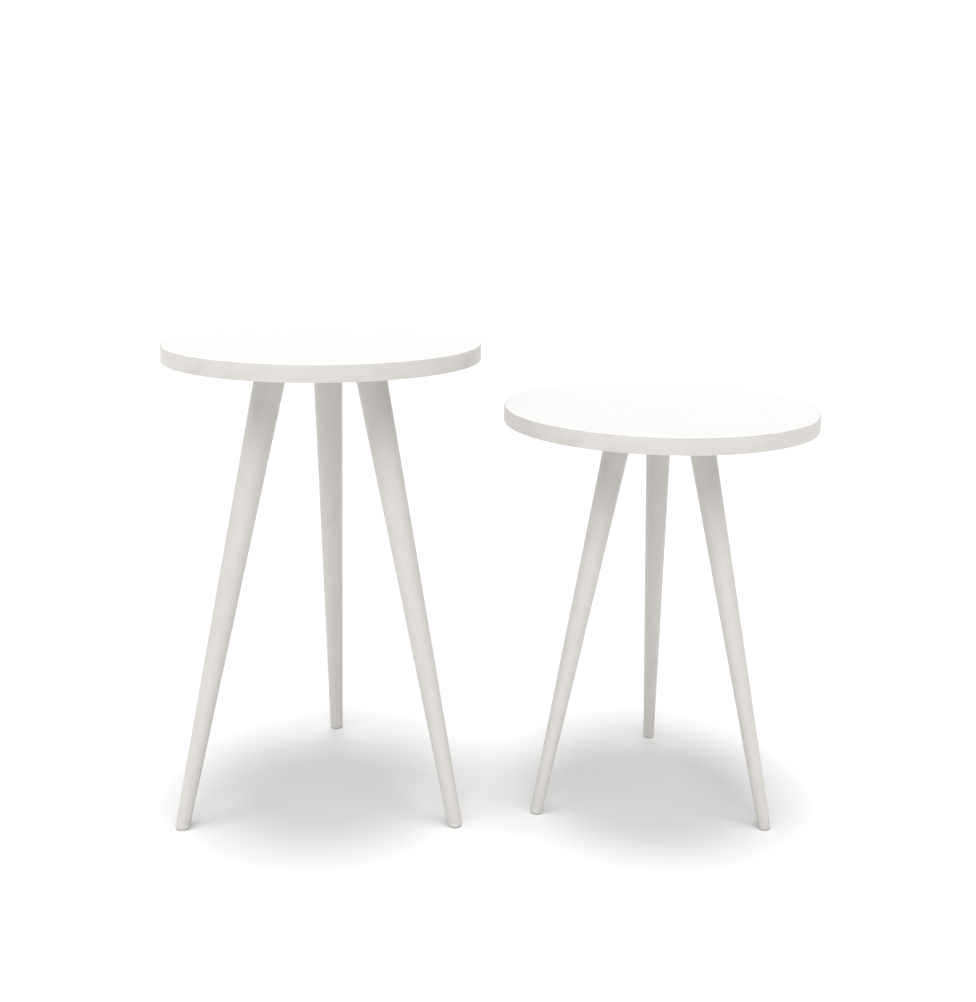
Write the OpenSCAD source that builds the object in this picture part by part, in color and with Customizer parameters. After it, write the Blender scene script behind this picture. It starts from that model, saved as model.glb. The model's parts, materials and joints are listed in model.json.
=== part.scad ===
// Two round nesting tables. Each is a laminated disc on three splayed, turned legs.
// The low table stands beside the tall one and slides in under its top, between two legs.
// Millimetres, +Z up. The origin is on the floor, midway between the two tables.
// +X runs from the tall table to the low one, and +Y runs to the back.

/* [Tops] */
// Diameter of each top, over its edge band
top_d = 400; // [340:1:480]
// Thickness of the board inside each top
core_t = 18; // [15:0.5:25]
// Thickness of the laminate on each face of the board
laminate_t = 1; // [0.6:0.1:1.5]
// Thickness of the edge band
band_t = 1; // [0.6:0.1:2]
// Rounding of the band's two outer corners
band_round = 0.7; // [0.2:0.1:0.9]
// Gap where the two ends of the band meet
seam_gap = 0.3; // [0.1:0.05:0.5]
// Direction of that gap from the middle of the top, in degrees from +X
seam_at = 98; // [0:1:360]

/* [Tall table] */
// Height of the tall table
tall_h = 600; // [560:1:720]
// Radius of the circle on which its leg plates sit
tall_plate_r = 71; // [62:1:90]
// Diameter of its legs at the top
tall_leg_top_d = 39; // [32:0.5:44]
// Diameter of its legs at the floor
tall_leg_foot_d = 17.5; // [14:0.5:24]
// How far its legs are turned about the middle of the top
tall_turn = 2.5; // [-30:0.5:30]

/* [Low table] */
// Height of the low table
low_h = 520; // [420:1:540]
// Radius of the circle on which its leg plates sit
low_plate_r = 59; // [54:1:80]
// Diameter of its legs at the top
low_leg_top_d = 33.5; // [28:0.5:42]
// Diameter of its legs at the floor
low_leg_foot_d = 14.8; // [12:0.2:20]
// How far its legs are turned about the middle of the top
low_turn = -6.8; // [-30:0.1:30]

/* [Leg plates] */
// Angle between a leg and the vertical
splay = 12.5; // [8:0.5:16]
// Side of the square flange
plate_w = 60; // [54:1:72]
// Rounding of the flange's corners
plate_round = 8; // [4:0.5:12]
// Thickness of the pressed steel
plate_t = 2.5; // [2:0.1:3]
// Outer diameter of the cup that carries the leg
cup_d = 42; // [36:0.5:46]
// Distance between the screws, along each side of the flange
screw_pitch = 46; // [44:0.5:50]
// Clearance of the screws and the bolt in the plate's holes
hole_clearance = 0.3; // [0.2:0.05:0.6]

/* [Hardware] */
// Diameter of the hanger bolt
bolt_d = 8; // [6:0.5:10]
// Length of the bolt inside the leg
bolt_in_leg = 38; // [25:1:60]
// Length of the bolt past the nut
bolt_past_nut = 1.5; // [0.5:0.5:3]
// Width across the flats of the weld nut
nut_w = 13; // [11:0.5:15]
// Height of the weld nut
nut_h = 6.5; // [5:0.5:8]
// Clearance between the end of the bolt and the board
bolt_to_board = 3; // [1:0.5:6]
// Diameter of the plate screws
screw_d = 4; // [3:0.5:5]
// Length of the plate screws under the head
screw_l = 16; // [12:0.5:18]
// Diameter of the screw heads
screw_head_d = 8; // [7:0.5:9]
// Height of the screw heads
screw_head_h = 2.6; // [2:0.2:3.2]
// Clearance around screws, bolts and nails in the wood and in the nut
thread_fit = 0.05; // [0.02:0.01:0.1]

/* [Glides] */
// Thickness of the glide under each foot
glide_t = 2; // [1.5:0.1:4]
// How far the glide stays inside the edge of the foot
glide_inset = 0.6; // [0.3:0.1:1.5]
// Rounding of the glide's lower edge
glide_round = 0.6; // [0.2:0.1:1]
// Diameter of the glide nail
nail_d = 1.8; // [1.2:0.1:2.4]
// Length of the nail inside the foot
nail_in_foot = 12; // [8:1:20]
// Diameter of the nail head
nail_head_d = 4.6; // [3.6:0.2:6]
// Thickness of the nail head
nail_head_t = 0.7; // [0.5:0.1:1]
// Depth of the nail head's lower face inside the glide
nail_sink = 0.3; // [0.2:0.1:0.5]

/* [Placing] */
// Gap between the two tops, along X, when they stand side by side
table_gap = 30; // [5:1:200]
// How far the low table stands behind the tall one
table_offset = 10; // [0:1:60]
// How far the low table is slid in: 0 is side by side, 1 is fully nested
nested = 0; // [0:0.01:1]
// Gap between the low top and the tall table's legs when fully nested
nest_gap = 1.5; // [1:0.1:10]

/* [Hidden] */

$fn = 96;
cut = 1;            // how far a cutting shape runs past the face that it opens
arc_steps = 6;      // straight steps in a rounded corner

LEFT = 210;         // the three legs stand at these angles, before the table's turn
RIGHT = 330;
BACK = 90;
LEGS = [LEFT, RIGHT, BACK];

top_t = core_t + 2 * laminate_t;
core_d = top_d - 2 * band_t;

// Height from the sloping seat where a leg ends up to the underside of the top
seat_drop = bolt_to_board + (plate_t + nut_h + bolt_past_nut) * cos(splay) + bolt_d / 2 * sin(splay);

// A table's own sizes: height, plate circle, leg diameters at the top and at the floor, and turn
TALL = [tall_h, tall_plate_r, tall_leg_top_d, tall_leg_foot_d, tall_turn];
LOW = [low_h, low_plate_r, low_leg_top_d, low_leg_foot_d, low_turn];

function height(t) = t[0];
function plate_r(t) = t[1];
function leg_top_d(t) = t[2];
function leg_foot_d(t) = t[3];
function turn(t) = t[4];
function underside(t) = height(t) - top_t;

// A leg's axis runs from the middle of its seat to the floor
function axis_r(t, z) = plate_r(t) + (underside(t) - seat_drop - z) * tan(splay);
function axis_l(t) = (underside(t) - seat_drop) / cos(splay);
function leg_d(t, z) =
    leg_foot_d(t) + (leg_top_d(t) - leg_foot_d(t)) * z / (underside(t) - seat_drop);

// Side by side, the tables stand evenly about the origin
pitch = [top_d + table_gap, table_offset];
tall_place = -pitch / 2;
low_rest_place = pitch / 2;

// Nested, the low top reaches in between the tall table's right and back legs until it nearly
// touches both, at the height of its own lower edge, where those legs stand furthest out
nest_z = underside(LOW);
nest_dir = (RIGHT - 360 + BACK) / 2 + tall_turn;
nest_spread = (BACK + 360 - RIGHT) / 2;
nest_reach = top_d / 2 + leg_d(TALL, nest_z) / 2 / cos(splay) + nest_gap;
nest_r = axis_r(TALL, nest_z) * cos(nest_spread)
    + sqrt(pow(nest_reach, 2) - pow(axis_r(TALL, nest_z) * sin(nest_spread), 2));
low_nested_place = tall_place + nest_r * [cos(nest_dir), sin(nest_dir)];
low_place = low_rest_place + nested * (low_nested_place - low_rest_place);

paint = "#e9e7e3";
laminate = "#f7f7f6";
band = "#e6e3de";
fibreboard = "#b59a78";
backing = "#a9aaa7";
zinc = "#aeb2b6";
bright_steel = "#c9ccd0";
nylon = "#8f928c";

// Where things are

module tall_table() translate([tall_place.x, tall_place.y, 0]) children();
module low_table() translate([low_place.x, low_place.y, 0]) children();

// The middle of a plate on the underside of the top, with +X pointing outwards
module at_plate(t, leg) rotate(turn(t) + leg) translate([plate_r(t), 0, underside(t)]) children();

// The middle of the sloping seat, with +Z pointing down the leg
module at_seat() translate([0, 0, -seat_drop]) rotate([0, 180 - splay, 0]) children();

// The four screw places of a plate
module at_screws() {
    for (x = [-1, 1], y = [-1, 1])
        translate([x * screw_pitch / 2, y * screw_pitch / 2, 0]) children();
}

// The middle of a foot, on the floor
module at_foot(t, leg) rotate(turn(t) + leg) translate([axis_r(t, glide_t), 0, 0]) children();

// Tops

module disc(d, thickness) cylinder(h = thickness, d = d);

// The blind holes that take the plate screws, from the underside of the top upwards
module screw_holes(t) {
    for (leg = LEGS)
        at_plate(t, leg) at_screws()
            translate([0, 0, -cut])
                cylinder(h = cut + screw_l - plate_t + thread_fit, d = screw_d + 2 * thread_fit, $fn = 32);
}

module board(t) {
    color(fibreboard) difference() {
        translate([0, 0, underside(t) + laminate_t]) disc(core_d, core_t);
        screw_holes(t);
    }
}

module top_laminate(t) color(laminate) translate([0, 0, height(t) - laminate_t]) disc(core_d, laminate_t);

module backer(t) {
    color(backing) difference() {
        translate([0, 0, underside(t)]) disc(core_d, laminate_t);
        screw_holes(t);
    }
}

// A quarter circle of points about a centre
function corner(centre, r, from) =
    [for (i = [0:arc_steps]) centre + r * [cos(from + 90 * i / arc_steps), sin(from + 90 * i / arc_steps)]];

module edge_band(t) {
    r = min(band_round, 0.9 * band_t);
    color(band) translate([0, 0, underside(t)]) difference() {
        rotate_extrude() polygon(concat(
            [[core_d / 2, 0]],
            corner([top_d / 2 - r, r], r, -90),
            corner([top_d / 2 - r, top_t - r], r, 0),
            [[core_d / 2, top_t]]
        ));
        rotate(seam_at)
            translate([core_d / 2 - cut, -seam_gap / 2, -cut])
                cube([band_t + 2 * cut, seam_gap, top_t + 2 * cut]);
    }
}

// Leg plates and their fixings

module rounded_square(w, r) {
    square([w, w - 2 * r], center = true);
    square([w - 2 * r, w], center = true);
    for (x = [-1, 1], y = [-1, 1])
        translate([x * (w / 2 - r), y * (w / 2 - r)]) circle(r, $fn = 48);
}

// What lies above the sloping seat, less a skin under it
module above_seat(skin) {
    at_seat() translate([-plate_w, -plate_w, -2 * plate_w - skin]) cube(2 * plate_w);
}

// A round cup hanging from the underside, closed by the sloping seat
module cup(d, skin, rise) {
    depth = seat_drop + cup_d;
    intersection() {
        translate([0, 0, -depth]) cylinder(h = depth + rise, d = d);
        above_seat(skin);
    }
}

module plate(t, leg) {
    color(zinc) at_plate(t, leg) difference() {
        union() {
            translate([0, 0, -plate_t]) linear_extrude(plate_t) rounded_square(plate_w, plate_round);
            cup(cup_d, 0, 0);
        }
        cup(cup_d - 2 * plate_t, plate_t, cut);
        at_seat() cylinder(h = 4 * plate_t, d = bolt_d + 2 * hole_clearance, center = true, $fn = 48);
        at_screws()
            translate([0, 0, -plate_t - cut])
                cylinder(h = plate_t + 2 * cut, d = screw_d + 2 * hole_clearance, $fn = 32);
    }
}

module weld_nuts(t) {
    color(bright_steel) for (leg = LEGS)
        at_plate(t, leg) at_seat() translate([0, 0, -plate_t - nut_h]) difference() {
            cylinder(h = nut_h, d = nut_w / cos(30), $fn = 6);
            translate([0, 0, -cut])
                cylinder(h = nut_h + 2 * cut, d = bolt_d + 2 * thread_fit, $fn = 48);
        }
}

module hanger_bolts(t) {
    above = plate_t + nut_h + bolt_past_nut;
    point = bolt_d / 2;         // length of the point
    color(bright_steel) for (leg = LEGS)
        at_plate(t, leg) at_seat() rotate_extrude($fn = 48) polygon([
            [0, -above],
            [bolt_d / 2 - bolt_d / 10, -above],
            [bolt_d / 2, bolt_d / 10 - above],
            [bolt_d / 2, bolt_in_leg - point],
            [bolt_d / 5, bolt_in_leg],
            [0, bolt_in_leg]
        ]);
}

// Pan-head screws with a cross recess
module plate_screws(t) {
    crown = screw_head_h / 2;   // rounded upper half of the head
    slot = screw_d / 4;
    color(bright_steel) for (leg = LEGS)
        at_plate(t, leg) at_screws() translate([0, 0, -plate_t]) difference() {
            rotate_extrude($fn = 32) polygon([
                [0, -screw_head_h],
                [screw_head_d / 2 - crown, -screw_head_h],
                [screw_head_d / 2 - crown * 0.3, -screw_head_h + crown * 0.3],
                [screw_head_d / 2, -screw_head_h + crown],
                [screw_head_d / 2, 0],
                [screw_d / 2, 0],
                [screw_d / 2, screw_l - screw_d],
                [screw_d / 8, screw_l],
                [0, screw_l]
            ]);
            for (across = [0, 90])
                rotate(across) translate([-screw_head_d / 4, -slot / 2, -screw_head_h - cut])
                    cube([screw_head_d / 2, slot, cut + 0.7 * screw_head_h]);
        }
}

// Legs and glides

// A straight taper, square to its axis at the seat and cut level above the glide
module leg(t, where) {
    l = axis_l(t);
    past = leg_foot_d(t);       // how far the blank runs past the floor before it is cut
    slope = (leg_top_d(t) - leg_foot_d(t)) / l;
    color(paint) difference() {
        at_plate(t, where) at_seat()
            cylinder(h = l + past, d1 = leg_top_d(t), d2 = leg_foot_d(t) - slope * past);
        at_plate(t, where) at_seat() translate([0, 0, -cut])
            cylinder(h = bolt_in_leg + cut, d = bolt_d + 2 * thread_fit, $fn = 48);
        at_foot(t, where) translate([-2 * past, -2 * past, glide_t - 4 * past]) cube(4 * past);
        at_foot(t, where) translate([0, 0, glide_t - cut])
            cylinder(h = cut + nail_in_foot, d = nail_d + 2 * thread_fit, $fn = 24);
    }
}

module glide(t, where) {
    r = leg_foot_d(t) / 2 - glide_inset;
    hole_r = nail_d / 2 + thread_fit;
    recess_r = nail_head_d / 2 + thread_fit;
    seat_z = nail_sink + nail_head_t;
    edge = [for (i = [0:arc_steps])
        [r - glide_round, glide_round]
            + glide_round * [sin(90 * i / arc_steps), -cos(90 * i / arc_steps)]];
    color(nylon) at_foot(t, where) rotate_extrude($fn = 64) polygon(concat(
        [[recess_r, 0]], edge, [[r, glide_t], [hole_r, glide_t], [hole_r, seat_z], [recess_r, seat_z]]
    ));
}

module glide_nails(t) {
    color(bright_steel) for (leg = LEGS)
        at_foot(t, leg) rotate_extrude($fn = 24) polygon([
            [0, nail_sink],
            [nail_head_d / 2, nail_sink],
            [nail_head_d / 2, nail_sink + nail_head_t],
            [nail_d / 2, nail_sink + nail_head_t],
            [nail_d / 2, glide_t + nail_in_foot - nail_d],
            [0, glide_t + nail_in_foot]
        ]);
}

// The tall table
tall_table() board(TALL);  // tall_board
tall_table() top_laminate(TALL);  // tall_top_laminate
tall_table() backer(TALL);  // tall_backer
tall_table() edge_band(TALL);  // tall_edge_band
tall_table() plate(TALL, LEFT);  // tall_plate_left
tall_table() plate(TALL, RIGHT);  // tall_plate_right
tall_table() plate(TALL, BACK);  // tall_plate_back
tall_table() plate_screws(TALL);  // tall_plate_screws
tall_table() weld_nuts(TALL);  // tall_weld_nuts
tall_table() leg(TALL, LEFT);  // tall_leg_left
tall_table() leg(TALL, RIGHT);  // tall_leg_right
tall_table() leg(TALL, BACK);  // tall_leg_back
tall_table() hanger_bolts(TALL);  // tall_hanger_bolts
tall_table() glide(TALL, LEFT);  // tall_glide_left
tall_table() glide(TALL, RIGHT);  // tall_glide_right
tall_table() glide(TALL, BACK);  // tall_glide_back
tall_table() glide_nails(TALL);  // tall_glide_nails

// The low table
low_table() board(LOW);  // low_board
low_table() top_laminate(LOW);  // low_top_laminate
low_table() backer(LOW);  // low_backer
low_table() edge_band(LOW);  // low_edge_band
low_table() plate(LOW, LEFT);  // low_plate_left
low_table() plate(LOW, RIGHT);  // low_plate_right
low_table() plate(LOW, BACK);  // low_plate_back
low_table() plate_screws(LOW);  // low_plate_screws
low_table() weld_nuts(LOW);  // low_weld_nuts
low_table() leg(LOW, LEFT);  // low_leg_left
low_table() leg(LOW, RIGHT);  // low_leg_right
low_table() leg(LOW, BACK);  // low_leg_back
low_table() hanger_bolts(LOW);  // low_hanger_bolts
low_table() glide(LOW, LEFT);  // low_glide_left
low_table() glide(LOW, RIGHT);  // low_glide_right
low_table() glide(LOW, BACK);  // low_glide_back
low_table() glide_nails(LOW);  // low_glide_nails
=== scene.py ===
import json
import math

import bmesh
import bpy
from mathutils import Matrix, Vector

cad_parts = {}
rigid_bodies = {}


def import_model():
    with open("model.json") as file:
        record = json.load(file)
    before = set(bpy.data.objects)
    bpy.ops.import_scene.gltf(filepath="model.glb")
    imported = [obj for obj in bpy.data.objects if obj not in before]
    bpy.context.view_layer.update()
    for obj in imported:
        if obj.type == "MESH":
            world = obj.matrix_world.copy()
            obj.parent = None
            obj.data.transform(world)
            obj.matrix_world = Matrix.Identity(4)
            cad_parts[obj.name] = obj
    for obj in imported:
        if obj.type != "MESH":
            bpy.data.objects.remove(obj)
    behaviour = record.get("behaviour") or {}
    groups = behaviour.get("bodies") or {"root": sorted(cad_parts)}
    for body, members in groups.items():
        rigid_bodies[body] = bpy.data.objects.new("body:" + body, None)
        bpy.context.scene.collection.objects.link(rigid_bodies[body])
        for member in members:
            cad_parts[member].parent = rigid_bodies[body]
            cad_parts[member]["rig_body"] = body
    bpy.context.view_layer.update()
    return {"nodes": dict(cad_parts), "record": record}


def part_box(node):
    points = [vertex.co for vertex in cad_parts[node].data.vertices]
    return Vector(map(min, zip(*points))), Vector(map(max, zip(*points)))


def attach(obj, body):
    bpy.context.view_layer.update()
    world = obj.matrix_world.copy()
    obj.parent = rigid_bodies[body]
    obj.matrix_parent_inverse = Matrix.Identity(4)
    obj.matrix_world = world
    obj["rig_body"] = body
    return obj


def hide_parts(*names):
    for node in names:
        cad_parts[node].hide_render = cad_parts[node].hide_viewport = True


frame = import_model()


# ---- Boards -----------------------------------------------------------------------------------
# Inside each top is a disc of 18 mm medium-density fibreboard, cut round on a router. Fine wood
# fibre and resin, pale brown, with darker, harder skins; only its screw holes would ever show.

TABLES = ("tall", "low")


def finish(name):
    """A new material, its shader, a function that feeds sockets and one that adds a node."""
    material = bpy.data.materials.new(name)
    material.use_nodes = True
    tree = material.node_tree
    shader = tree.nodes["Principled BSDF"]

    def feed(target, sockets):
        for socket, value in sockets.items():
            if isinstance(value, bpy.types.NodeSocket):
                tree.links.new(value, target.inputs[socket])
            else:
                target.inputs[socket].default_value = value

    def add(kind, sockets=None, **settings):
        added = tree.nodes.new("ShaderNode" + kind)
        for setting, value in settings.items():
            setattr(added, setting, value)
        feed(added, sockets or {})
        return added

    return material, shader, feed, add


def place(add, stretch=(1, 1, 1)):
    """Where a point is in the room, in metres, with each axis multiplied by stretch."""
    at = add("TexCoord").outputs["Object"]
    return add("Mapping", {"Vector": at, "Scale": stretch}).outputs["Vector"]


def grain(add, at, size, detail=2.0, roughness=0.5):
    """Noise whose features are about size metres across."""
    noise = add("TexNoise", {"Vector": at, "Scale": 1 / size, "Detail": detail, "Roughness": roughness})
    return noise.outputs["Fac"]


def spread(add, value, low, high, start=0.3, end=0.7):
    """Noise from start to end becomes low to high."""
    sockets = {"Value": value, "From Min": start, "From Max": end, "To Min": low, "To Max": high}
    return add("MapRange", sockets).outputs["Result"]


def tones(add, value, *stops):
    """A ramp through (position, colour) stops."""
    ramp = add("ValToRGB", {"Fac": value})
    while len(ramp.color_ramp.elements) < len(stops):
        ramp.color_ramp.elements.new(0.5)
    for element, (position, colour) in zip(ramp.color_ramp.elements, stops):
        element.position = position
        element.color = (*colour, 1)
    return ramp.outputs["Color"]


def plus(add, first, second, share):
    """First, with a share of second added to it."""
    return add("Math", {0: second, 1: share, 2: first}, operation="MULTIPLY_ADD").outputs["Value"]


def relief(add, height, depth, under=None):
    """A bump of the given depth in metres, laid over another one if there is one."""
    sockets = {"Height": height, "Distance": depth, "Strength": 1.0}
    if under is not None:
        sockets["Normal"] = under
    return add("Bump", sockets).outputs["Normal"]


def fibreboard():
    material, shader, feed, add = finish("raw_fibreboard")
    fibres = grain(add, place(add), 0.0012, detail=6, roughness=0.7)
    clouds = grain(add, place(add), 0.02)
    feed(shader, {
        "Base Color": tones(add, fibres, (0.3, (0.36, 0.25, 0.15)), (0.7, (0.52, 0.39, 0.25))),
        "Roughness": spread(add, clouds, 0.82, 0.95),
        "Normal": relief(add, fibres, 0.0001),
    })
    return material


def dress(node, material):
    """Puts a finish on a CAD node that keeps its own shape."""
    for slot in frame["nodes"][node].material_slots:
        slot.material = material


raw_board = fibreboard()
for table in TABLES:
    dress(f"{table}_board", raw_board)


# ---- Backing laminate -------------------------------------------------------------------------
# The underside of each board carries a thin light grey balancing sheet, so that the top doesn't
# bow. It is matt resin paper with a faint cloudiness and a light fibre in it.

def backing():
    material, shader, feed, add = finish("backing_sheet")
    fibres = grain(add, place(add, (1, 0.2, 1)), 0.0010, detail=5, roughness=0.65)
    clouds = grain(add, place(add), 0.012, detail=4, roughness=0.6)
    feed(shader, {
        "Base Color": tones(add, plus(add, clouds, fibres, 0.4), (0.45, (0.37, 0.374, 0.362)),
                            (0.95, (0.43, 0.434, 0.422))),
        "Roughness": spread(add, fibres, 0.52, 0.70),
        "Normal": relief(add, fibres, 0.00006),
    })
    return material


backing_sheet = backing()
for table in TABLES:
    dress(f"{table}_backer", backing_sheet)


# ---- Top laminate -----------------------------------------------------------------------------
# The upper face is a white melamine laminate with the fine pearl texture that it is pressed with.
# It is trimmed flush with the edge band, and its edge is broken by a hair's breadth.

AROUND = 192                # straight steps round a top
WELD = 1e-7                 # points closer than this become one
SHARP = 35                  # edges sharper than this many degrees stay crisp


def quarter(centre, radius, start, steps=5):
    """Points of a quarter circle from start degrees, as (distance from the axis, height)."""
    angles = [math.radians(start + 90 * step / steps) for step in range(steps + 1)]
    return [(centre[0] + radius * math.cos(a), centre[1] + radius * math.sin(a)) for a in angles]


def turned(name, outline, steps, sweep=math.tau, start=0.0, smooth=SHARP):
    """Spins an outline of (distance from the axis, height) points about the Z axis."""
    shape = bmesh.new()
    points = [shape.verts.new((r * math.cos(start), r * math.sin(start), z)) for r, z in outline]
    whole = sweep == math.tau
    # An outline that keeps off the axis is closed, and its two ends are capped if it stops short
    closed = outline[0][0] > 0 or outline[-1][0] > 0
    ends = points[1:] + points[:1] if closed else points[1:]
    edges = [shape.edges.new(pair) for pair in zip(points, ends)]
    if closed and not whole:
        shape.faces.new(points)
    spun = bmesh.ops.spin(shape, geom=points + edges, axis=(0, 0, 1), cent=(0, 0, 0), dvec=(0, 0, 0),
                          angle=sweep, steps=steps, use_merge=whole)
    if closed and not whole:
        shape.faces.new([v for v in spun["geom_last"] if isinstance(v, bmesh.types.BMVert)])
    bmesh.ops.remove_doubles(shape, verts=shape.verts, dist=WELD)
    return settle(name, shape, smooth)


def settle(name, shape, smooth):
    """Turns a bmesh into an object whose faces point outwards, shaded smooth below an angle."""
    bmesh.ops.recalc_face_normals(shape, faces=shape.faces)
    mesh = bpy.data.meshes.new(name)
    shape.to_mesh(mesh)
    shape.free()
    mesh.shade_smooth()
    mesh.set_sharp_from_angle(angle=math.radians(smooth))
    piece = bpy.data.objects.new(name, mesh)
    bpy.context.scene.collection.objects.link(piece)
    return piece


def stand_for(piece, node, material, at):
    """Puts a piece in its place, instead of a CAD node, on that node's body and with the given material.
    """
    own = piece.data.attributes.new("own", "FLOAT_VECTOR", "POINT")
    for point, vert in zip(own.data, piece.data.vertices):
        point.vector = vert.co
    piece.data.transform(at)
    piece.data.materials.append(material)
    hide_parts(node)
    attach(piece, frame["nodes"][node]["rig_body"])


def on_piece(add, stretch=(1, 1, 1)):
    """Where a point is on a turned piece, as it lay on the lathe, in metres."""
    at = add("Attribute", attribute_name="own").outputs["Vector"]
    return add("Mapping", {"Vector": at, "Scale": stretch}).outputs["Vector"]


def melamine():
    material, shader, feed, add = finish("white_melamine")
    pearl = grain(add, on_piece(add), 0.0008, detail=2)
    hand_marks = grain(add, on_piece(add), 0.05, detail=4, roughness=0.6)
    scratches = grain(add, on_piece(add, (1, 0.02, 1)), 0.0012, detail=1)
    rare = spread(add, scratches, 0, 1, start=0.70, end=0.78)
    feed(shader, {
        "Base Color": tones(add, hand_marks, (0.3, (0.685, 0.683, 0.676)), (0.7, (0.705, 0.704, 0.698))),
        "Roughness": plus(add, spread(add, hand_marks, 0.30, 0.42), rare, 0.12),
        "Normal": relief(add, rare, -0.00001, relief(add, pearl, 0.00003)),
    })
    return material


mounts = {mount["name"]: mount for mount in frame["record"]["mounts"]}
middles = {table: Vector(mounts[f"{table}_top"]["pos_m"]) for table in TABLES}
ARRIS = 0.00015             # how far the laminate's sharp edge is broken
white_melamine = melamine()
for table in TABLES:
    node = f"{table}_top_laminate"
    low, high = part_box(node)
    radius = (high.x - low.x) / 2
    thickness = high.z - low.z
    outline = [(0, -thickness), (radius, -thickness), (radius, -ARRIS), (radius - ARRIS, 0), (0, 0)]
    sheet = turned(f"{table}_melamine_face", outline, AROUND)
    stand_for(sheet, node, white_melamine, Matrix.Translation(middles[table]))


# ---- Edge band --------------------------------------------------------------------------------
# A 1 mm strip of warm white plastic is glued round the board's edge and trimmed top and bottom
# with a small radius. Its two ends meet in a butt joint at the back.

BAND_ROUND = 0.0007         # radius of the trimmed corners
SEAM_GAP = 0.0003           # between the strip's two ends
SEAM_AT = math.radians(98)  # round from the right, so it is at the back


def edge_plastic():
    material, shader, feed, add = finish("edge_band_plastic")
    drawn = grain(add, on_piece(add, (0.02, 0.02, 1)), 0.0009, detail=3)
    peel = grain(add, on_piece(add), 0.0022, detail=1)
    clouds = grain(add, on_piece(add), 0.03, detail=3)
    # The band is darker, pinker and rougher in a strip over its rounded top edge; the bottom edge is
    # left as it is
    height = add("SeparateXYZ", {"Vector": on_piece(add)}).outputs["Z"]
    top_edge_strip = spread(add, height, 0, 1, start=-0.0010, end=-0.0003)
    feed(shader, {
        "Base Color": tones(add, plus(add, clouds, top_edge_strip, -0.5), (0.0, (0.50, 0.465, 0.445)),
                            (0.35, (0.637, 0.613, 0.582)), (0.65, (0.657, 0.633, 0.604))),
        "Roughness": plus(add, spread(add, peel, 0.34, 0.44), top_edge_strip, 0.12),
        "Normal": relief(add, drawn, 0.000015, relief(add, peel, 0.000015)),
    })
    return material


band_plastic = edge_plastic()
for table in TABLES:
    node = f"{table}_edge_band"
    low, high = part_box(node)
    outer = (high.x - low.x) / 2
    sheet_low, sheet_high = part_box(f"{table}_top_laminate")
    inner = (sheet_high.x - sheet_low.x) / 2
    depth = high.z - low.z
    outline = [(inner, -depth + ARRIS), (inner + ARRIS, -depth)]
    outline += quarter((outer - BAND_ROUND, -depth + BAND_ROUND), BAND_ROUND, -90)
    outline += quarter((outer - BAND_ROUND, -BAND_ROUND), BAND_ROUND, 0)
    outline += [(inner + ARRIS, 0), (inner, -ARRIS)]
    gap = SEAM_GAP / outer
    band = turned(f"{table}_band", outline, AROUND, math.tau - gap, SEAM_AT + gap / 2, smooth=50)
    stand_for(band, node, band_plastic, Matrix.Translation(middles[table]))


# ---- Leg plates -------------------------------------------------------------------------------
# Three zinc-plated steel pressings are screwed under each top. Each is a square flange with a cup
# drawn out of its middle, and the cup's floor slopes so that the leg stands square to it.

LEGS = ("left", "right", "back")
PLATE = 0.060               # side of the square flange
PLATE_CORNER = 0.008        # radius of its corners
PLATE_THICK = 0.0025
PLATE_STEPS = 128
CUP = 0.042                 # diameter of the cup that the leg stands against
SPLAY = math.radians(12.5)
BOLT_CLEAR = 0.0043         # radius of the hole for the bolt
DRAW_ROUND = 0.0015         # bends of the drawn cup
SHEAR_ROUND = 0.0005        # edges left by the press
CUP_WALL_ENDS = 0.008       # below this the cup slopes
FLANGE_FROM = 0.0235        # radius at which the flange starts to turn from round to square
FLANGE_RIM = 0.0285         # radius from which it is square
low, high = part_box("tall_plate_left")
SEAT_DROP = high.z - low.z - CUP / 2 * math.tan(SPLAY)      # down to the sloping seat's middle


def zinc():
    material, shader, feed, add = finish("zinc_plate")
    cells = add("TexVoronoi", {"Vector": on_piece(add), "Scale": 1 / 0.006}).outputs["Color"]
    rolled = grain(add, on_piece(add, (1, 0.05, 1)), 0.0006, detail=3)
    stains = grain(add, on_piece(add), 0.012, detail=4)
    feed(shader, {
        "Base Color": tones(add, stains, (0.3, (0.52, 0.53, 0.54)), (0.7, (0.66, 0.67, 0.68))),
        "Metallic": 1.0,
        "Roughness": spread(add, cells, 0.34, 0.5, 0, 1),
        "Normal": relief(add, rolled, 0.00001),
    })
    return material


def square_reach(angle):
    """Distance from the plate's middle to its rounded square edge in a direction."""
    side, corner = PLATE / 2, PLATE / 2 - PLATE_CORNER
    along, across = sorted((abs(math.cos(angle)), abs(math.sin(angle))), reverse=True)
    if side * across / along <= corner:
        return side / along
    both = corner * (along + across)
    return both + math.sqrt(both ** 2 - 2 * corner ** 2 + PLATE_CORNER ** 2)


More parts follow.
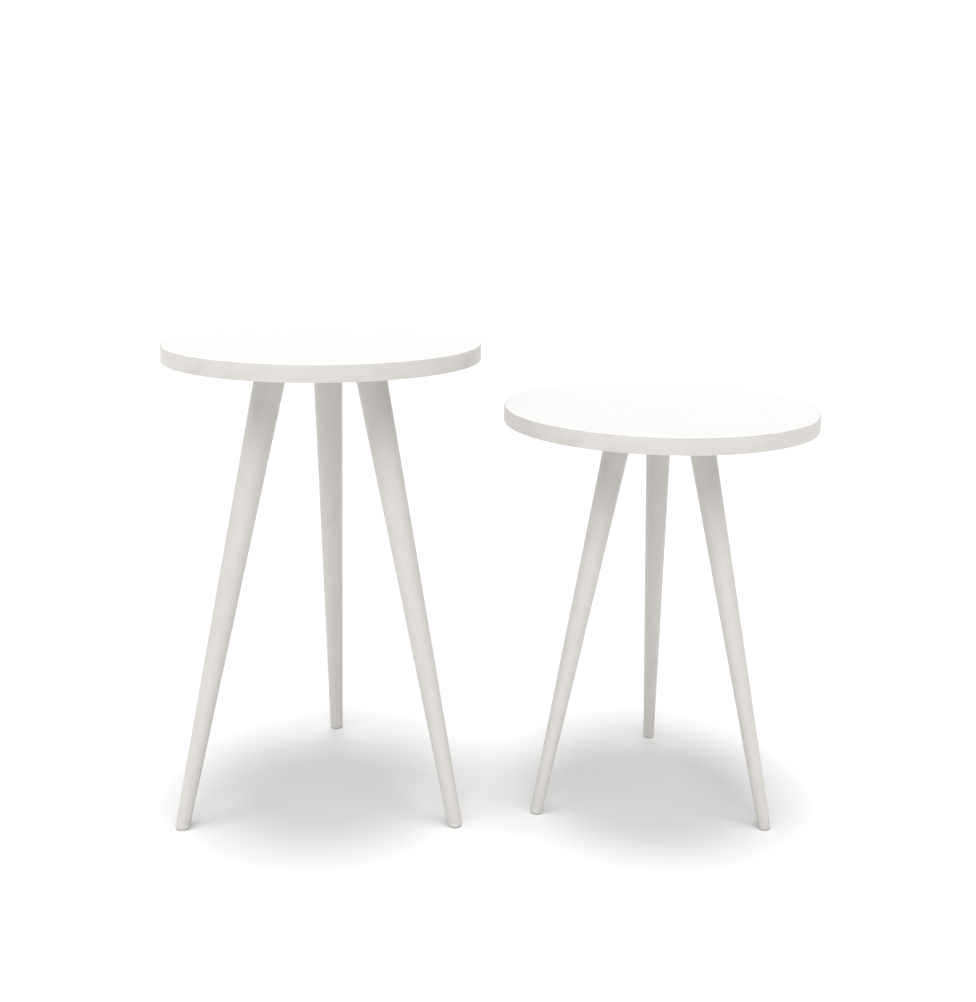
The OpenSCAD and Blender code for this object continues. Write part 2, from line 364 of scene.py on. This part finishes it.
def leg_plate(name):
    """A flange with a drawn cup, its upper face at height 0 and its low side towards -X."""
    cup, inside = CUP / 2, CUP / 2 - PLATE_THICK
    floor_under = -SEAT_DROP + PLATE_THICK / math.cos(SPLAY)
    outline = [(BOLT_CLEAR, -SEAT_DROP)]
    outline += quarter((cup - DRAW_ROUND, -SEAT_DROP + DRAW_ROUND), DRAW_ROUND, -90)
    outline += reversed(quarter((cup + DRAW_ROUND, -PLATE_THICK - DRAW_ROUND), DRAW_ROUND, 90))
    outline += [(FLANGE_FROM, -PLATE_THICK), (FLANGE_RIM, -PLATE_THICK)]
    outline += quarter((PLATE / 2 - SHEAR_ROUND, -PLATE_THICK + SHEAR_ROUND), SHEAR_ROUND, -90, 3)
    outline += quarter((PLATE / 2 - SHEAR_ROUND, -SHEAR_ROUND), SHEAR_ROUND, 0, 3)
    outline += [(FLANGE_RIM, 0), (FLANGE_FROM, 0)]
    outline += quarter((inside + DRAW_ROUND, -DRAW_ROUND), DRAW_ROUND, 90)
    outline += reversed(quarter((inside - SHEAR_ROUND, floor_under + SHEAR_ROUND), SHEAR_ROUND, -90, 3))
    outline += [(BOLT_CLEAR, floor_under)]
    plate = turned(name, outline, PLATE_STEPS, smooth=40)
    for vert in plate.data.vertices:
        x, y, z = vert.co
        reach = math.hypot(x, y)
        if z < -CUP_WALL_ENDS:
            vert.co.z += x * math.tan(SPLAY)
        if reach > FLANGE_FROM:
            edge = square_reach(math.atan2(y, x)) - PLATE / 2
            share = min(1, (reach - FLANGE_FROM) / (FLANGE_RIM - FLANGE_FROM))
            vert.co.xy *= 1 + edge * share / reach
    return plate


zinc_plate = zinc()
for table in TABLES:
    for leg in LEGS:
        node = f"{table}_plate_{leg}"
        low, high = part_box(node)
        middle = (low + high) / 2
        outwards = middle - middles[table]
        at = Matrix.Translation((middle.x, middle.y, high.z))
        at = at @ Matrix.Rotation(math.atan2(outwards.y, outwards.x), 4, "Z")
        stand_for(leg_plate(f"{table}_pressed_plate_{leg}"), node, zinc_plate, at)


# ---- Screws, weld nuts, hanger bolts and glide nails ------------------------------------------
# Bright zinc-plated steel. Pan-head screws hold the plates, a nut is welded in each cup, a hanger
# bolt joins it to the leg, and a short nail holds each glide.

def bright_zinc():
    material, shader, feed, add = finish("bright_zinc")
    stains = grain(add, place(add), 0.003, detail=3)
    feed(shader, {
        "Base Color": tones(add, stains, (0.3, (0.64, 0.64, 0.62)), (0.7, (0.78, 0.79, 0.80))),
        "Metallic": 1.0,
        "Roughness": spread(add, stains, 0.22, 0.36),
    })
    return material


bright_steel = bright_zinc()
for table in TABLES:
    for hardware in ("plate_screws", "weld_nuts", "hanger_bolts", "glide_nails"):
        dress(f"{table}_{hardware}", bright_steel)


# ---- Legs -------------------------------------------------------------------------------------
# Each leg is turned from one piece of light hardwood to a straight taper, sanded and sprayed with
# warm white satin lacquer. Its foot is sawn level with the floor and eased, then painted over.

LEG_TOP = {"tall": 0.039, "low": 0.0335}        # diameters
LEG_FOOT = {"tall": 0.0175, "low": 0.0148}
BOLT_HOLE = 0.0081          # drilled for the hanger bolt
BOLT_DEPTH = 0.038
TOP_EASE = 0.001            # chamfer round the leg's top
FOOT_EASE = 0.0012          # rounding of the foot's lower edge
LEG_STEPS = 64


def lacquer():
    material, shader, feed, add = finish("white_lacquered_wood")
    fibres = grain(add, on_piece(add, (1, 1, 0.03)), 0.0014, detail=4, roughness=0.6)
    pores = grain(add, on_piece(add, (1, 1, 0.08)), 0.0007, detail=1)
    pores = spread(add, pores, 0, 1, start=0.60, end=0.70)
    sanding = grain(add, on_piece(add, (0.05, 0.05, 1)), 0.0011, detail=2)
    peel = grain(add, on_piece(add), 0.0019, detail=1)
    clouds = grain(add, on_piece(add, (1, 1, 0.4)), 0.02, detail=3)
    height = add("SeparateXYZ", {"Vector": place(add)}).outputs["Z"]
    near_floor = spread(add, height, 1, 0, start=0.004, end=0.07)
    scuffs = spread(add, grain(add, on_piece(add), 0.005, detail=5, roughness=0.7), 0, 1, 0.52, 0.68)
    scuffs = add("Math", {0: scuffs, 1: near_floor}, operation="MULTIPLY").outputs["Value"]
    shade = plus(add, plus(add, clouds, pores, -0.10), scuffs, -0.2)
    roughness = spread(add, peel, 0.36, 0.46)
    feed(shader, {
        "Base Color": tones(add, shade, (0.0, (0.49, 0.468, 0.437)), (0.35, (0.635, 0.611, 0.579)),
                            (0.65, (0.657, 0.633, 0.604))),
        "Roughness": plus(add, roughness, scuffs, 0.15),
        "Normal": relief(add, pores, -0.00003, relief(add, fibres, 0.00006,
                         relief(add, sanding, 0.000015, relief(add, peel, 0.00002)))),
    })
    return material


def leg_frame(table, leg):
    """The middle of the sloping seat, with +Z down the leg, and the leg's length to the floor."""
    low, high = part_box(f"{table}_plate_{leg}")
    middle = (low + high) / 2
    outwards = middle - middles[table]
    turn = math.atan2(outwards.y, outwards.x)
    seat = Vector((middle.x, middle.y, high.z - SEAT_DROP))
    at = (Matrix.Translation(seat) @ Matrix.Rotation(turn, 4, "Z")
          @ Matrix.Rotation(math.pi - SPLAY, 4, "Y"))
    return at, seat.z / math.cos(SPLAY)


def turned_leg(table, leg, at, length):
    """A tapered blank drilled for its bolt, with its foot sawn level with the top of its glide."""
    top, foot = LEG_TOP[table] / 2, LEG_FOOT[table] / 2
    past = 2 * foot
    tip = foot - (top - foot) / length * past
    outline = [(0, BOLT_DEPTH), (BOLT_HOLE / 2, BOLT_DEPTH), (BOLT_HOLE / 2, 0), (top - TOP_EASE, 0),
               (top, TOP_EASE), (tip, length + past), (0, length + past)]
    blank = turned(f"{table}_turned_leg_{leg}", outline, LEG_STEPS)
    shape = bmesh.new()
    shape.from_mesh(blank.data)
    to_lathe = at.inverted()
    saw = to_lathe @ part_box(f"{table}_glide_{leg}")[1]
    bmesh.ops.bisect_plane(shape, geom=shape.verts[:] + shape.edges[:] + shape.faces[:], plane_co=saw,
                           plane_no=to_lathe.to_3x3() @ Vector((0, 0, -1)), clear_outer=True)
    rim = [edge for edge in shape.edges if edge.is_boundary]
    bmesh.ops.holes_fill(shape, edges=rim)
    bmesh.ops.bevel(shape, geom=rim, offset=FOOT_EASE, segments=4, affect="EDGES", profile=0.5,
                    material=-1, clamp_overlap=True)
    bmesh.ops.recalc_face_normals(shape, faces=shape.faces)
    shape.to_mesh(blank.data)
    shape.free()
    blank.data.shade_smooth()
    blank.data.set_sharp_from_angle(angle=math.radians(SHARP))
    return blank


lacquered_wood = lacquer()
for table in TABLES:
    for leg in LEGS:
        at, length = leg_frame(table, leg)
        stand_for(turned_leg(table, leg, at, length), f"{table}_leg_{leg}", lacquered_wood, at)


# ---- Glides -----------------------------------------------------------------------------------
# A thin moulded disc of grey nylon is nailed under each foot, so that the table slides without
# marking the floor. The nail's head sits in a recess and never touches it.

def nylon():
    material, shader, feed, add = finish("grey_nylon")
    matt = grain(add, place(add), 0.0004, detail=2)
    stains = grain(add, place(add), 0.004, detail=3)
    feed(shader, {
        "Base Color": tones(add, stains, (0.3, (0.45, 0.46, 0.425)), (0.7, (0.51, 0.52, 0.485))),
        "Roughness": spread(add, matt, 0.5, 0.62),
        "Normal": relief(add, matt, 0.00001),
    })
    return material


grey_nylon = nylon()
for table in TABLES:
    for leg in LEGS:
        dress(f"{table}_glide_{leg}", grey_nylon)


# ---- Studio -----------------------------------------------------------------------------------
# A plain floor of white paper in a white studio. A large lamp overhead leaves a soft pool of
# shadow under each top, soft boxes in front light the legs, and a weak lamp fills the left side.

PAPER = 60.0                # side of the paper floor
PAPER_TONE = 0.93
ROOM = 0.22                 # light that the white room sends back
WHITE = 1.2                 # the room as it is seen, and as it is mirrored in a gloss
LAMPS = {                   # degrees round from the front, degrees up, width in degrees, power
    "overhead": (0, 90, 23, 1.90),
    "front": (0, 42, 34, 1.08),
    "front_left": (-46, 40, 40, 0.48),
    "front_right": (46, 40, 40, 0.48),
    "left": (-90, 10, 60, 0.36),
}


def paper():
    material, shader, feed, add = finish("white_paper")
    feed(shader, {"Base Color": (PAPER_TONE, PAPER_TONE, PAPER_TONE, 1), "Roughness": 0.9,
                  "Specular IOR Level": 0.1})
    return material


shape = bmesh.new()
bmesh.ops.create_grid(shape, x_segments=1, y_segments=1, size=PAPER / 2)
floor = settle("paper_floor", shape, SHARP)
floor.data.materials.append(paper())

for name, (round_by, up_by, width, power) in LAMPS.items():
    lamp = bpy.data.lights.new(f"{name}_lamp", "SUN")
    lamp.energy = power
    lamp.angle = math.radians(width)
    stand = bpy.data.objects.new(f"{name}_lamp", lamp)
    stand.matrix_world = (Matrix.Rotation(math.radians(round_by), 4, "Z")
                          @ Matrix.Rotation(math.radians(90 - up_by), 4, "X"))
    bpy.context.scene.collection.objects.link(stand)

# The room is seen and mirrored as pure white, and it lights the tables with less
room = bpy.data.worlds.new("white_room")
room.use_nodes = True
ray = room.node_tree.nodes.new("ShaderNodeLightPath")
seen = room.node_tree.nodes.new("ShaderNodeMath")
seen.operation = "MAXIMUM"
strength = room.node_tree.nodes.new("ShaderNodeMapRange")
strength.inputs["To Min"].default_value = ROOM
strength.inputs["To Max"].default_value = WHITE
background = room.node_tree.nodes["Background"]
background.inputs["Color"].default_value = (1, 1, 1, 1)
room.node_tree.links.new(ray.outputs["Is Camera Ray"], seen.inputs[0])
room.node_tree.links.new(ray.outputs["Is Glossy Ray"], seen.inputs[1])
room.node_tree.links.new(seen.outputs["Value"], strength.inputs["Value"])
room.node_tree.links.new(strength.outputs["Result"], background.inputs["Strength"])
bpy.context.scene.world = room

bpy.context.scene.view_settings.view_transform = "Standard"
bpy.context.scene.view_settings.look = "None"
bpy.context.scene.view_settings.exposure = 0.0


# ---- Camera -----------------------------------------------------------------------------------
# The camera stands a step and a half in front, above the tall top, and looks slightly down. Its
# shift lowers the frame, so that the feet are in view while the legs stay upright.

LENS = 46.53                # millimetres
SENSOR = 36.0
SHIFT_UP = -0.1507          # a share of the sensor's width
EYE = (-0.0064, -1.6273, 0.8174)
LOOK_DOWN = math.radians(7.918)
TILT = math.radians(0.658)  # round the line of sight

camera = bpy.data.cameras.new("camera")
camera.lens = LENS
camera.sensor_width = SENSOR
camera.shift_y = SHIFT_UP
tripod = bpy.data.objects.new("camera", camera)
tripod.matrix_world = (Matrix.Translation(EYE) @ Matrix.Rotation(math.pi / 2 - LOOK_DOWN, 4, "X")
                       @ Matrix.Rotation(TILT, 4, "Z"))
bpy.context.scene.collection.objects.link(tripod)
bpy.context.scene.camera = tripod
